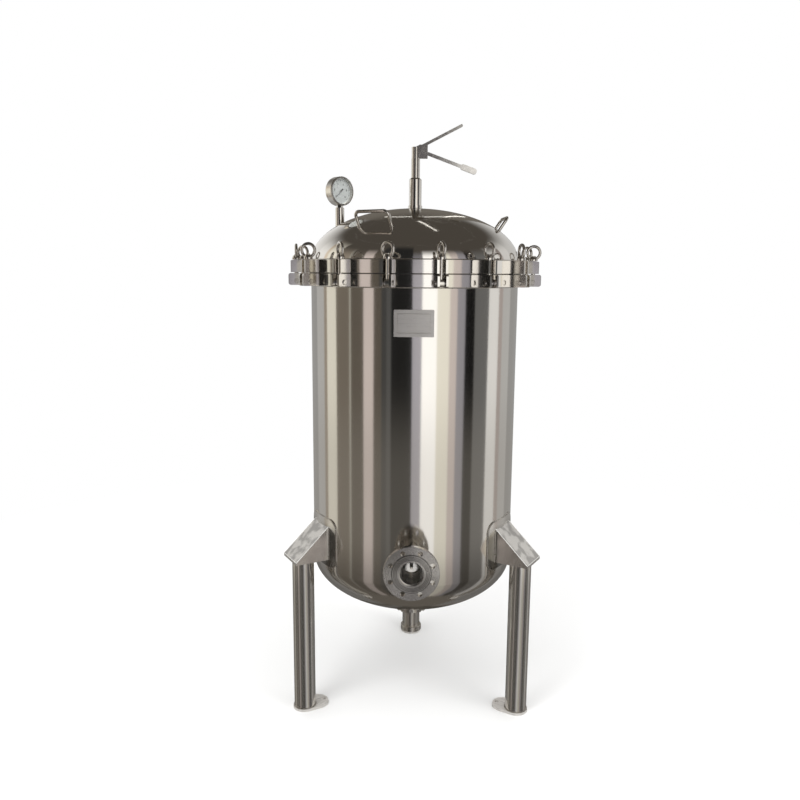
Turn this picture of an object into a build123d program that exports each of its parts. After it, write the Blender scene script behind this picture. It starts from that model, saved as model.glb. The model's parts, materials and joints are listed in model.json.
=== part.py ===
from build123d import *
import os
from math import acos, asin, cos, degrees, radians, sin, sqrt

# Cartridge filter housing: a polished stainless vessel on three tube legs, closed by a domed cover
# that sixteen swing bolts hold down. Millimetres, +Z up, -Y is the front with the inlet flange.
# The origin is on the vessel's axis at floor level.

# Clearances
pin_clearance = 0.05         # radial, swing bolt eye or lever on its pin
thread_clearance = 0.3       # radial, threads drawn as plain cylinders
seat_clearance = 0.3         # between two faces that meet when the closure is shut
slide_clearance = 0.5        # loose fit of a piece that is lifted in and out
cut_margin = 1               # how far a cut runs on past what it cuts

# Shell and heads
shell_radius = 405
shell_wall = 5
tangent_level = 580          # height where the bottom head starts to round in
head_skirt = 25              # straight part of the bottom head, up to its weld
head_ratio = 0.5             # depth of a head as a share of its radius, a 2:1 ellipsoid
front_angle = -90

# Body ring and cover ring
ring_width = 25
ring_chamfer = 1.5
body_ring_height = 45
cover_ring_height = 48
gasket_thickness = 3
gasket_inset = 3             # how far the gasket stops short of the rings' rim
dome_rise = 43.5             # from the foot of the cover to where its ellipsoid starts

# Closure: swing bolts in lugs and forks
bolt_count = 16
bolt_offset = 32             # from the rings' rim to the bolts
ear_gap = 22
ear_thickness = 8
ear_fillet = 8
lug_reach = 62
fork_reach = 53
ear_root = 10                # length of an ear before it is trimmed to the ring
pin_drop = 29                # pin below the top of the body ring
pin_radius = 6
pin_head_radius = 9
pin_head_thickness = 4
pin_head_chamfer = 1
bolt_radius = 8
bolt_eye_radius = 15
bolt_eye_width = 18
bolt_end_above_seat = 19
bolt_end_chamfer = 1.5

# Eye nuts, sizes counted from the face that they seat on
nut_ring_height = 31
nut_ring_radius = 23.5
nut_bar_radius = 5.5
nut_hub_radius = 16
nut_neck_radius = 12.5
nut_hub_height = 6
nut_neck_height = 15
# Which way each ring happens to face when it is tight, as an azimuth, from the first bolt on
nut_turns = (25, 35, 15, 80, 40, 115, 20, 80, 150, 35, 100, 60, 10, 88, 27, 52)

# Legs
leg_count = 3
leg_offset = 81              # from the shell to the middle of a leg tube
leg_tube_radius = 42
leg_tube_wall = 3
bracket_bottom_rise = 43     # from the tangent level to the foot of a bracket
bracket_height = 133
bracket_overhang = 12        # beyond the leg tube
bracket_width = 127
bracket_plate = 6
bracket_lip = 10             # upright outer end of a cheek
pad_thickness = 5
pad_width = 210
pad_height = 190
pad_corner = 40
foot_thickness = 10
foot_half_width = 46
foot_inner_offset = 51       # from the leg to the middle of the foot plate's inner end
anchor_offset = 81           # from the leg to its anchor bolt
anchor_hole_radius = 9

# Inlet, a DN 80 pipe with a PN 16 flange
inlet_rise = 98              # from the tangent level to the middle of the inlet
inlet_projection = 120       # from the shell to the flange's sealing face
inlet_pipe_radius = 44.45
inlet_pipe_wall = 3
inlet_flange_radius = 100
inlet_flange_thickness = 20
raised_face_radius = 69
raised_face_height = 3
pipe_set_back = 8            # the pipe's end behind the sealing face
inlet_bolt_circle_radius = 80
inlet_bolt_count = 8
inlet_hole_radius = 9
flange_edge = 1
groove_count = 3             # fine rings turned in the sealing face
groove_first_radius = 53
groove_pitch = 5
groove_width = 1.5
groove_depth = 0.8

# Outlet, a DN 50 pipe joined by a slotted union nut; heights are counted down from the head
outlet_pipe_radius = 30.15
outlet_pipe_wall = 3
outlet_pad_radius = 87
outlet_pad_drop = 6
union_stub_radius = 58
union_stub_length = 38
union_nut_radius = 66
union_nut_height = 44
union_nut_lip = 6
union_slot_count = 8
union_slot_width = 14
union_slot_depth = 5
liner_flange_thickness = 8
outlet_length = 156          # from the head's lowest point to the outlet's end
end_collar_radius = 43
end_collar_height = 21
tommy_hole_radius = 3
tommy_hole_depth = 6

# Nameplate, left bare
nameplate_drop = 123         # from the body ring down to the middle of the plate
nameplate_width = 140
nameplate_height = 94
nameplate_stand_off = 6
nameplate_depth = 18         # before its edges are trimmed to the shell
nameplate_wall = 2
nameplate_corner = 3
rivet_radius = 2.5
rivet_height = 1.2
rivet_inset = 7

# Cartridges and what holds them
ledge_rise = 3               # from the head's weld to the ledge under the tube sheet
ledge_width = 20
ledge_thickness = 12
sheet_thickness = 12
cartridge_radius = 31.75
cartridge_length = 1016
cartridge_cap_radius = 33
cartridge_cap_length = 14
cartridge_pitch = 104
cartridge_wall_gap = 20      # least space between a cartridge and the shell
cartridge_headroom = 66      # from the cartridges' tops to the top of the body ring
nipple_radius = 22
nipple_length = 16
tip_radius = 8
tip_length = 18
hold_down_inset = 12
hold_down_thickness = 8
rod_count = 6
rod_inset = 40
rod_radius = 6
rod_above_plate = 22
rod_nut_radius = 10
rod_nut_height = 10
hex_sides = 6

# Handles on the cover
handle_count = 3
handle_first_angle = -116
handle_inset = 83
handle_span = 132
handle_height = 56
handle_bar_radius = 6
handle_bend = 18
handle_root = 14             # length below the dome's surface before it is trimmed

# Pressure gauge
gauge_inset = 111
gauge_angle = 180
gauge_facing = -48
socket_radius = 17.5
socket_height = 66
socket_root = 24
socket_edge = 1
gauge_case_radius = 55
gauge_case_depth = 38
gauge_centre_above_socket = 62
gauge_hex = 24
gauge_hex_sink = 6
gauge_rim = 7
gauge_recess = 14
window_thickness = 3
window_set_back = 2
spindle_radius = 1.5
pointer_length = 36
pointer_tail = 12
pointer_width = 3
pointer_thickness = 1
pointer_hub_radius = 4
pointer_above_dial = 4
pointer_rest_angle = 225     # the zero of the scale, seen from the front
case_edge = 3

# Vent riser and its squeeze valve on top of the cover
vent_collar_radius = 27
vent_collar_height = 12
riser_radius = 24.15
riser_height = 116
upper_riser_radius = 17
upper_riser_height = 72
vent_bore_radius = 10
vent_reducer_height = 6
valve_body_radius = 15.5
valve_body_height = 43
valve_block_reach = 46
valve_block_width = 24
valve_block_top_rise = 8
valve_block_drop = 2
lever_pivot_reach = 36
lever_pivot_rise = 23
lever_pin_radius = 4
lever_slot = 8.6
lever_thickness = 8
lever_hub_radius = 10
lever_length = 212
lever_angle = -20
lever_bar_width = 12
lever_grip_length = 66
lever_grip_width = 22
lever_grip_thickness = 10
grip_arm_length = 160
grip_arm_root = 20           # hidden in the block
grip_arm_rise = 29.5         # above the lever's pivot
grip_arm_angle = 27
grip_arm_width = 10
arm_end_flat = 1             # left between the rounded corners at an arm's end

# Levels and radii that follow from the sizes above
shell_inner = shell_radius - shell_wall
head_depth = shell_radius * head_ratio
head_low = tangent_level - head_depth
ring_radius = shell_radius + ring_width
head_weld = tangent_level + head_skirt
ledge_bottom = head_weld + ledge_rise
sheet_bottom = ledge_bottom + ledge_thickness
sheet_top = sheet_bottom + sheet_thickness
cartridge_top = sheet_top + cartridge_length
hold_down_top = cartridge_top + hold_down_thickness
cartridge_rings = int((shell_inner - cartridge_wall_gap - cartridge_cap_radius) / cartridge_pitch)
body_ring_top = cartridge_top + cartridge_headroom
body_height = body_ring_top - tangent_level
body_ring_bottom = body_ring_top - body_ring_height
cover_bottom = body_ring_top + gasket_thickness
cover_ring_top = cover_bottom + cover_ring_height
dome_base = cover_bottom + dome_rise
dome_top = dome_base + head_depth
bolt_circle = ring_radius + bolt_offset
pin_height = body_ring_top - pin_drop
nut_seat = cover_ring_top + seat_clearance
bolt_pitch = 360 / bolt_count
bolt_angles = [front_angle + bolt_pitch * (index + 0.5) for index in range(bolt_count)]
leg_circle = shell_radius + leg_offset
leg_angles = [90 + 360 / leg_count * index for index in range(leg_count)]
bracket_bottom = tangent_level + bracket_bottom_rise
bracket_top = bracket_bottom + bracket_height
bracket_reach = leg_offset + leg_tube_radius + bracket_overhang
anchor_circle = leg_circle - anchor_offset
inlet_height = tangent_level + inlet_rise
inlet_face = shell_radius + inlet_projection
outlet_bore = outlet_pipe_radius - outlet_pipe_wall
outlet_end = head_low - outlet_length
stub_end = head_low - outlet_pad_drop - union_stub_length
socket_circle = shell_radius - gauge_inset
riser_base = dome_top
valve_base = riser_base + riser_height + upper_riser_height

inlet_plane = Plane(origin=(0, -inlet_face, inlet_height), x_dir=(1, 0, 0), z_dir=(0, -1, 0))

os.makedirs("parts", exist_ok=True)


def dome_level(radius):
    """Height of the cover's outer surface at a distance from the axis."""
    return dome_base + head_depth * sqrt(1 - (radius / shell_radius) ** 2)


def save(part, label):
    part.label = label
    export_step(part, f"parts/{label}.step")


def head_section(base, skirt_end):
    """Half section of an ellipsoidal head that bulges up from a straight skirt."""
    inner_depth = head_depth - shell_wall
    with BuildSketch(Plane.XZ) as section:
        with BuildLine():
            EllipticalCenterArc((0, base), shell_radius, head_depth)
            Line((0, base + head_depth), (0, base + inner_depth))
            EllipticalCenterArc((0, base), shell_inner, inner_depth)
            Polyline(
                (shell_inner, base),
                (shell_inner, skirt_end),
                (shell_radius, skirt_end),
                (shell_radius, base),
            )
        make_face()
    return section.sketch


def head(base, skirt_end):
    with BuildPart() as whole_head:
        revolve(head_section(base, skirt_end), axis=Axis.Z)
    return whole_head.part


def head_bulk(base):
    """Solid outer form of a head, used to trim what is welded on to it."""
    with BuildPart() as bulk:
        with BuildSketch(Plane.XZ):
            with BuildLine():
                EllipticalCenterArc((0, base), shell_radius, head_depth)
                Polyline((0, base + head_depth), (0, base), (shell_radius, base))
            make_face()
        revolve(axis=Axis.Z)
    return bulk.part


tangent_axis = Axis((0, 0, tangent_level), (1, 0, 0))
dome_bulk = head_bulk(dome_base)
bottom_bulk = head_bulk(tangent_level).rotate(tangent_axis, 180)


# Shell, with the ledge that carries the tube sheet
with BuildPart() as shell:
    with BuildSketch(Plane.XZ):
        with BuildLine():
            Polyline(
                (shell_radius, head_weld),
                (shell_radius, body_ring_top),
                (shell_inner, body_ring_top),
                (shell_inner, sheet_bottom),
                (shell_inner - ledge_width, sheet_bottom),
                (shell_inner - ledge_width, ledge_bottom),
                (shell_inner, ledge_bottom),
                (shell_inner, head_weld),
                close=True,
            )
        make_face()
    revolve(axis=Axis.Z)
    with BuildSketch(inlet_plane):
        Circle(inlet_pipe_radius)
    extrude(amount=-inlet_face, mode=Mode.SUBTRACT)
save(shell.part, "shell")

# Bottom head with the hole for the outlet
with BuildPart() as bottom_head:
    add(head(tangent_level, tangent_level - head_skirt).rotate(tangent_axis, 180))
    with BuildSketch(Plane.XY.offset(head_low)):
        Circle(outlet_bore)
    extrude(amount=shell_wall * 2, both=True, mode=Mode.SUBTRACT)
save(bottom_head.part, "bottom_head")


# Rings
def flange_ring(bottom, height):
    with BuildPart() as ring:
        with BuildSketch(Plane.XY.offset(bottom)):
            Circle(ring_radius)
            Circle(shell_radius, mode=Mode.SUBTRACT)
        extrude(amount=height)
        rim = ring.edges().filter_by(GeomType.CIRCLE).sort_by(SortBy.RADIUS)[-2:]
        chamfer(rim, ring_chamfer)
    return ring.part


save(flange_ring(body_ring_bottom, body_ring_height), "body_ring")
save(flange_ring(cover_bottom, cover_ring_height), "cover_ring")

# Gasket that shows as the dark line between the rings
with BuildPart() as cover_gasket:
    with BuildSketch(Plane.XY.offset(body_ring_top)):
        Circle(ring_radius - gasket_inset)
        Circle(shell_inner, mode=Mode.SUBTRACT)
    extrude(amount=gasket_thickness - seat_clearance)
save(cover_gasket.part, "cover_gasket")

# Cover dome with its short skirt and the socket for the gauge
gauge_direction = (cos(radians(gauge_angle)), sin(radians(gauge_angle)))
socket_place = (socket_circle * gauge_direction[0], socket_circle * gauge_direction[1])
socket_base = dome_level(socket_circle)
socket_top = socket_base + socket_height
with BuildPart() as cover_dome:
    add(head(dome_base, cover_bottom))
    with BuildSketch(Plane.XY.offset(socket_base - socket_root)):
        with Locations(socket_place):
            Circle(socket_radius)
    extrude(amount=socket_height + socket_root)
    with BuildSketch(Plane.XY.offset(dome_top)):
        Circle(vent_bore_radius)
    extrude(amount=shell_wall * 2, both=True, mode=Mode.SUBTRACT)
    socket_mouth = (socket_place[0], socket_place[1], socket_top)
    fillet(cover_dome.faces().sort_by_distance(socket_mouth)[0].edges(), socket_edge)
save(cover_dome.part, "cover_dome")


# Ears of the closure: plates in pairs, one on each side of a bolt, trimmed to the ring
def lug_outline():
    with BuildSketch(Plane.XZ) as outline:
        with BuildLine():
            Polyline(
                (ring_radius - ear_root, body_ring_bottom),
                (ring_radius + lug_reach, body_ring_bottom),
                (ring_radius + lug_reach, body_ring_top),
                (ring_radius - ear_root, body_ring_top),
                close=True,
            )
        make_face()
        fillet(outline.vertices().group_by(Axis.X)[-1], ear_fillet)
        with Locations((bolt_circle, pin_height)):
            Circle(pin_radius + pin_clearance, mode=Mode.SUBTRACT)
    return outline.sketch


def fork_outline():
    """The top is flat up to the bolt, then rounds off about the pin so that the nut swings clear."""
    crown = cover_ring_top - pin_height
    reach = ring_radius + fork_reach
    share = (reach - bolt_circle) / crown
    start, turn = degrees(acos(share)), degrees(asin(share))
    with BuildSketch(Plane.XZ) as outline:
        with BuildLine():
            arc = CenterArc((bolt_circle, pin_height), crown, start, turn)
            Polyline(
                arc @ 1,
                (ring_radius - ear_root, cover_ring_top),
                (ring_radius - ear_root, cover_bottom),
                (reach, cover_bottom),
                arc @ 0,
            )
        make_face()
    return outline.sketch


def ear_ring(outline, bottom, height):
    """A pair of ears from one outline, repeated at every bolt."""
    with BuildPart() as pair:
        for side in (-1, 1):
            middle = side * (ear_gap + ear_thickness) / 2
            extrude(Pos(0, middle, 0) * outline, amount=ear_thickness / 2, both=True)
        with BuildSketch(Plane.XY.offset(bottom - cut_margin)):
            Circle(ring_radius)
        extrude(amount=height + cut_margin * 2, mode=Mode.SUBTRACT)
    with BuildPart() as ears:
        for angle in bolt_angles:
            add(pair.part.rotate(Axis.Z, angle))
    return ears.part


save(ear_ring(lug_outline(), body_ring_bottom, body_ring_height), "body_lugs")
save(ear_ring(fork_outline(), cover_bottom, cover_ring_height), "cover_forks")

# Lug pins, headed at one end and closed by a washer at the other
pin_plane = Plane(origin=(bolt_circle, 0, pin_height), x_dir=(1, 0, 0), z_dir=(0, 1, 0))
pair_half = ear_gap / 2 + ear_thickness
with BuildPart() as lug_pin:
    with BuildSketch(pin_plane):
        Circle(pin_radius)
    extrude(amount=pair_half + pin_head_thickness, both=True)
    for side in (-1, 1):
        with BuildSketch(pin_plane.offset(side * pair_half)):
            Circle(pin_head_radius)
        extrude(amount=side * pin_head_thickness)
    heads = lug_pin.faces().sort_by(Axis.Y)
    chamfer(heads[0].edges() + heads[-1].edges(), pin_head_chamfer)

with BuildPart() as lug_pins:
    for angle in bolt_angles:
        add(lug_pin.part.rotate(Axis.Z, angle))
save(lug_pins.part, "lug_pins")

# Swing bolts: a rod with an eye that turns on the lug pin
with BuildPart() as swing_bolt:
    with BuildSketch(Plane.XY.offset(pin_height)):
        with Locations((bolt_circle, 0)):
            Circle(bolt_radius)
    extrude(amount=nut_seat + bolt_end_above_seat - pin_height)
    chamfer(swing_bolt.faces().sort_by(Axis.Z)[-1].edges(), bolt_end_chamfer)
    with BuildSketch(pin_plane):
        Circle(bolt_eye_radius)
    extrude(amount=bolt_eye_width / 2, both=True)
    with BuildSketch(pin_plane):
        Circle(pin_radius + pin_clearance)
    extrude(amount=bolt_eye_width, both=True, mode=Mode.SUBTRACT)

# Eye nut, built on its own axis with the ring facing +X
with BuildPart() as eye_nut:
    with BuildSketch(Plane.XZ):
        with BuildLine():
            Polyline(
                (0, 0),
                (nut_hub_radius, 0),
                (nut_hub_radius, nut_hub_height),
                (nut_neck_radius, nut_neck_height),
                (0, nut_neck_height),
                close=True,
            )
        make_face()
    revolve(axis=Axis.Z)
    with BuildSketch(Plane.XY.offset(nut_ring_height)):
        with Locations((0, nut_ring_radius)):
            Circle(nut_bar_radius)
    revolve(axis=Axis((0, 0, nut_ring_height), (1, 0, 0)))
    with BuildSketch(Plane.XY):
        Circle(bolt_radius + thread_clearance)
    extrude(amount=nut_ring_height, mode=Mode.SUBTRACT)

for number, (angle, turn) in enumerate(zip(bolt_angles, nut_turns), start=1):
    save(swing_bolt.part.rotate(Axis.Z, angle), f"swing_bolt_{number:02d}")
    spot = (bolt_circle * cos(radians(angle)), bolt_circle * sin(radians(angle)), nut_seat)
    save(Location(spot, (0, 0, turn)) * eye_nut.part, f"eye_nut_{number:02d}")


# Legs: tube, fabricated bracket with its pad, and foot plate
def around_legs(piece):
    with BuildPart() as pieces:
        for angle in leg_angles:
            add(piece.rotate(Axis.Z, angle))
    return pieces.part


slope_run = bracket_reach
slope_drop = bracket_height - bracket_lip
slope_length = sqrt(slope_run**2 + slope_drop**2)
plate_back = bracket_plate * slope_drop / slope_length
plate_down = bracket_plate * slope_run / slope_length
bracket_outer = shell_radius + bracket_reach
slope_plane = Plane(
    origin=(bracket_outer, 0, bracket_bottom + bracket_lip),
    x_dir=(0, 1, 0),
    z_dir=(slope_drop, 0, slope_run),
)

with BuildPart() as leg_bracket:
    for side in (-1, 1):
        with BuildSketch(Plane.XZ.offset(side * bracket_width / 2)):
            with BuildLine():
                Polyline(
                    (shell_inner, bracket_bottom),
                    (bracket_outer, bracket_bottom),
                    (bracket_outer, bracket_bottom + bracket_lip),
                    (shell_radius, bracket_top),
                    (shell_inner, bracket_top),
                    close=True,
                )
            make_face()
        extrude(amount=-side * bracket_plate)
    with BuildSketch(Plane.XZ):
        with BuildLine():
            Polyline(
                (shell_inner, bracket_top),
                (shell_radius, bracket_top),
                (bracket_outer, bracket_bottom + bracket_lip),
                (bracket_outer, bracket_bottom),
                (bracket_outer - plate_back, bracket_bottom),
                (bracket_outer - plate_back, bracket_bottom + bracket_lip - plate_down),
                (shell_radius - plate_back, bracket_top - plate_down),
                (shell_inner, bracket_top - plate_down),
                close=True,
            )
        make_face()
    extrude(amount=bracket_width / 2, both=True)
    with BuildSketch(Plane.XY.offset(bracket_bottom - cut_margin)):
        Circle(shell_radius + pad_thickness)
    extrude(amount=bracket_height + cut_margin * 2, mode=Mode.SUBTRACT)

pad_middle = bracket_bottom + bracket_height / 2
pad_plane = Plane(origin=(shell_inner - ring_width, 0, pad_middle), x_dir=(0, 1, 0), z_dir=(1, 0, 0))
with BuildPart() as leg_pad:
    with BuildSketch(pad_plane):
        RectangleRounded(pad_width, pad_height, pad_corner)
    extrude(amount=leg_offset)
    with BuildSketch(Plane.XY.offset(pad_middle)):
        Circle(shell_radius + pad_thickness)
        Circle(shell_radius, mode=Mode.SUBTRACT)
    extrude(amount=pad_height, both=True, mode=Mode.INTERSECT)

with BuildPart() as bracket_with_pad:
    add(leg_bracket.part)
    add(leg_pad.part)
save(around_legs(bracket_with_pad.part), "leg_brackets")

# The tube rises inside its bracket and is mitred to fit under the sloping plate
with BuildPart() as leg_tube:
    with BuildSketch(Plane.XY.offset(foot_thickness)):
        with Locations((leg_circle, 0)):
            Circle(leg_tube_radius)
            Circle(leg_tube_radius - leg_tube_wall, mode=Mode.SUBTRACT)
    extrude(amount=bracket_top - foot_thickness)
    split(bisect_by=slope_plane.offset(-bracket_plate - seat_clearance), keep=Keep.BOTTOM)
save(around_legs(leg_tube.part), "leg_tubes")

with BuildPart() as foot_plate:
    with BuildSketch(Plane.XY):
        with Locations((leg_circle - foot_inner_offset / 2, 0)):
            SlotCenterToCenter(foot_inner_offset, foot_half_width * 2)
        with Locations((anchor_circle, 0)):
            Circle(anchor_hole_radius, mode=Mode.SUBTRACT)
    extrude(amount=foot_thickness)
save(around_legs(foot_plate.part), "foot_plates")

# Inlet: the pipe and its flange are one weldment
with BuildPart() as inlet_nozzle:
    with BuildSketch(inlet_plane.offset(-pipe_set_back)):
        Circle(inlet_pipe_radius)
    extrude(amount=pipe_set_back - inlet_face)
    with BuildSketch(Plane.XY.offset(tangent_level)):
        Circle(shell_inner)
    extrude(amount=body_height, mode=Mode.SUBTRACT)
    with BuildSketch(inlet_plane.offset(-inlet_flange_thickness)):
        Circle(inlet_flange_radius)
    extrude(amount=inlet_flange_thickness - raised_face_height)
    rims = inlet_nozzle.edges().filter_by(GeomType.CIRCLE).sort_by(SortBy.RADIUS)[-2:]
    chamfer(rims, flange_edge)
    with BuildSketch(inlet_plane.offset(-raised_face_height)):
        Circle(raised_face_radius)
    extrude(amount=raised_face_height)
    with BuildSketch(inlet_plane):
        Circle(inlet_pipe_radius)
    extrude(amount=-pipe_set_back, mode=Mode.SUBTRACT)
    with BuildSketch(inlet_plane):
        Circle(inlet_pipe_radius - inlet_pipe_wall)
        half_step = 180 / inlet_bolt_count
        with PolarLocations(inlet_bolt_circle_radius, inlet_bolt_count, start_angle=half_step):
            Circle(inlet_hole_radius)
    extrude(amount=-inlet_face, mode=Mode.SUBTRACT)
    for index in range(groove_count):
        groove_radius = groove_first_radius + groove_pitch * index
        with BuildSketch(inlet_plane):
            Circle(groove_radius + groove_width / 2)
            Circle(groove_radius - groove_width / 2, mode=Mode.SUBTRACT)
        extrude(amount=-groove_depth, mode=Mode.SUBTRACT)
save(inlet_nozzle.part, "inlet_nozzle")

# Outlet stub with its pad, welded to the lowest point of the head
with BuildPart() as outlet_nozzle:
    with BuildSketch(Plane.XY.offset(head_low - outlet_pad_drop)):
        Circle(outlet_pad_radius)
    extrude(amount=head_depth)
    with BuildSketch(Plane.XY.offset(head_low - outlet_pad_drop)):
        Circle(union_stub_radius)
    extrude(amount=-union_stub_length)
    add(bottom_bulk, mode=Mode.SUBTRACT)
    with BuildSketch(Plane.XY.offset(stub_end)):
        Circle(outlet_bore)
    extrude(amount=head_depth, mode=Mode.SUBTRACT)
save(outlet_nozzle.part, "outlet_nozzle")

# Slotted union nut, which pulls the outlet's collar against the stub
liner_top = stub_end - seat_clearance
liner_bottom = liner_top - liner_flange_thickness
nut_bottom = liner_bottom - seat_clearance - union_nut_lip
with BuildPart() as outlet_union_nut:
    with BuildSketch(Plane.XY.offset(nut_bottom)):
        Circle(union_nut_radius)
        Circle(outlet_pipe_radius + thread_clearance, mode=Mode.SUBTRACT)
        with PolarLocations(union_nut_radius, union_slot_count, start_angle=front_angle):
            Rectangle(union_slot_depth * 2, union_slot_width, mode=Mode.SUBTRACT)
    extrude(amount=union_nut_height)
    with BuildSketch(Plane.XY.offset(nut_bottom + union_nut_lip)):
        Circle(union_stub_radius + thread_clearance)
    extrude(amount=union_nut_height, mode=Mode.SUBTRACT)
save(outlet_union_nut.part, "outlet_union_nut")

with BuildPart() as outlet_adapter:
    with BuildSketch(Plane.XY.offset(outlet_end)):
        Circle(outlet_pipe_radius)
    extrude(amount=liner_top - outlet_end)
    with BuildSketch(Plane.XY.offset(liner_bottom)):
        Circle(union_stub_radius - thread_clearance)
    extrude(amount=liner_flange_thickness)
    with BuildSketch(Plane.XY.offset(outlet_end)):
        Circle(end_collar_radius)
    extrude(amount=end_collar_height)
    rims = outlet_adapter.edges().filter_by(GeomType.CIRCLE)
    chamfer(rims.filter_by(lambda rim: abs(rim.radius - end_collar_radius) < 1), ring_chamfer)
    with BuildSketch(Plane.XY.offset(outlet_end)):
        Circle(outlet_bore)
    extrude(amount=liner_top - outlet_end, mode=Mode.SUBTRACT)
    with BuildSketch(Plane.XZ.offset(end_collar_radius)):
        with Locations((0, outlet_end + end_collar_height / 2)):
            Circle(tommy_hole_radius)
    extrude(amount=-tommy_hole_depth, mode=Mode.SUBTRACT)
save(outlet_adapter.part, "outlet_adapter")

# Nameplate: a flat bare face on bent edges that reach back to the shell
plate_face = shell_radius + nameplate_stand_off
plate_plane = Plane(
    origin=(0, -plate_face, body_ring_bottom - nameplate_drop),
    x_dir=(1, 0, 0),
    z_dir=(0, -1, 0),
)
rivet_x = nameplate_width / 2 - rivet_inset
rivet_y = nameplate_height / 2 - rivet_inset
with BuildPart() as nameplate:
    with BuildSketch(plate_plane):
        RectangleRounded(nameplate_width, nameplate_height, nameplate_corner)
    extrude(amount=-nameplate_depth)
    with BuildSketch(plate_plane.offset(-nameplate_wall)):
        Rectangle(nameplate_width - nameplate_wall * 2, nameplate_height - nameplate_wall * 2)
    extrude(amount=-nameplate_depth, mode=Mode.SUBTRACT)
    with BuildSketch(Plane.XY.offset(tangent_level)):
        Circle(shell_radius)
    extrude(amount=body_height, mode=Mode.SUBTRACT)
    with BuildSketch(plate_plane):
        with GridLocations(rivet_x * 2, rivet_y * 2, 2, 2):
            Circle(rivet_radius)
    extrude(amount=rivet_height)
save(nameplate.part, "nameplate")

# Cartridge places on a hexagonal pitch
cartridge_spots = [
    (cartridge_pitch * (column + row / 2), cartridge_pitch * row * sqrt(3) / 2)
    for row in range(-cartridge_rings, cartridge_rings + 1)
    for column in range(-cartridge_rings, cartridge_rings + 1)
    if abs(row + column) <= cartridge_rings
]

rod_circle = shell_inner - rod_inset
with BuildPart() as tube_sheet:
    with BuildSketch(Plane.XY.offset(sheet_bottom)):
        Circle(shell_inner - slide_clearance)
        with Locations(*cartridge_spots):
            Circle(nipple_radius + slide_clearance, mode=Mode.SUBTRACT)
    extrude(amount=sheet_thickness)
save(tube_sheet.part, "tube_sheet")

# One cartridge: nipple, end caps, media and the tip that locates it under the plate
with BuildPart() as cartridge:
    with BuildSketch(Plane.XZ):
        with BuildLine():
            Polyline(
                (0, sheet_top - nipple_length),
                (nipple_radius, sheet_top - nipple_length),
                (nipple_radius, sheet_top),
                (cartridge_cap_radius, sheet_top),
                (cartridge_cap_radius, sheet_top + cartridge_cap_length),
                (cartridge_radius, sheet_top + cartridge_cap_length),
                (cartridge_radius, cartridge_top - cartridge_cap_length),
                (cartridge_cap_radius, cartridge_top - cartridge_cap_length),
                (cartridge_cap_radius, cartridge_top),
                (tip_radius, cartridge_top),
                (tip_radius, cartridge_top + tip_length),
                (0, cartridge_top + tip_length),
                close=True,
            )
        make_face()
    revolve(axis=Axis.Z)

with BuildPart() as filter_cartridges:
    with Locations(*[(x, y, 0) for x, y in cartridge_spots]):
        add(cartridge.part)
save(filter_cartridges.part, "filter_cartridges")

with BuildPart() as hold_down_plate:
    with BuildSketch(Plane.XY.offset(cartridge_top)):
        Circle(shell_inner - hold_down_inset)
        with Locations(*cartridge_spots):
            Circle(tip_radius + slide_clearance, mode=Mode.SUBTRACT)
        with PolarLocations(rod_circle, rod_count, start_angle=180 / rod_count):
            Circle(rod_radius + slide_clearance, mode=Mode.SUBTRACT)
    extrude(amount=hold_down_thickness)
save(hold_down_plate.part, "hold_down_plate")

# Tie rods with their nuts on top of the plate
with BuildPart() as tie_rods:
    with BuildSketch(Plane.XY.offset(sheet_top)):
        with PolarLocations(rod_circle, rod_count, start_angle=180 / rod_count):
            Circle(rod_radius)
    extrude(amount=hold_down_top + rod_above_plate - sheet_top)
    with BuildSketch(Plane.XY.offset(hold_down_top)):
        with PolarLocations(rod_circle, rod_count, start_angle=180 / rod_count):
            RegularPolygon(rod_nut_radius, hex_sides)
    extrude(amount=rod_nut_height)
save(tie_rods.part, "tie_rods")

# Handles of bent bar that stand square to the dome
handle_circle = shell_radius - handle_inset
handle_lean_run = handle_circle / shell_radius**2
handle_lean_rise = (dome_level(handle_circle) - dome_base) / head_depth**2
handle_plane = Plane(
    origin=(handle_circle, 0, dome_level(handle_circle)),
    x_dir=(0, 1, 0),
    z_dir=(handle_lean_run, 0, handle_lean_rise),
)
half_span = handle_span / 2
with BuildPart() as cover_handle:
    with BuildLine(handle_plane) as handle_path:
        FilletPolyline(
            (-half_span, 0, -handle_root),
            (-half_span, 0, handle_height),
            (half_span, 0, handle_height),
            (half_span, 0, -handle_root),
            radius=handle_bend,
        )
    with BuildSketch(Plane(origin=handle_path.line @ 0, z_dir=handle_path.line % 0)):
        Circle(handle_bar_radius)
    sweep()
    add(dome_bulk, mode=Mode.SUBTRACT)

with BuildPart() as cover_handles:
    for index in range(handle_count):
        add(cover_handle.part.rotate(Axis.Z, handle_first_angle + 360 / handle_count * index))
save(cover_handles.part, "cover_handles")

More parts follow.
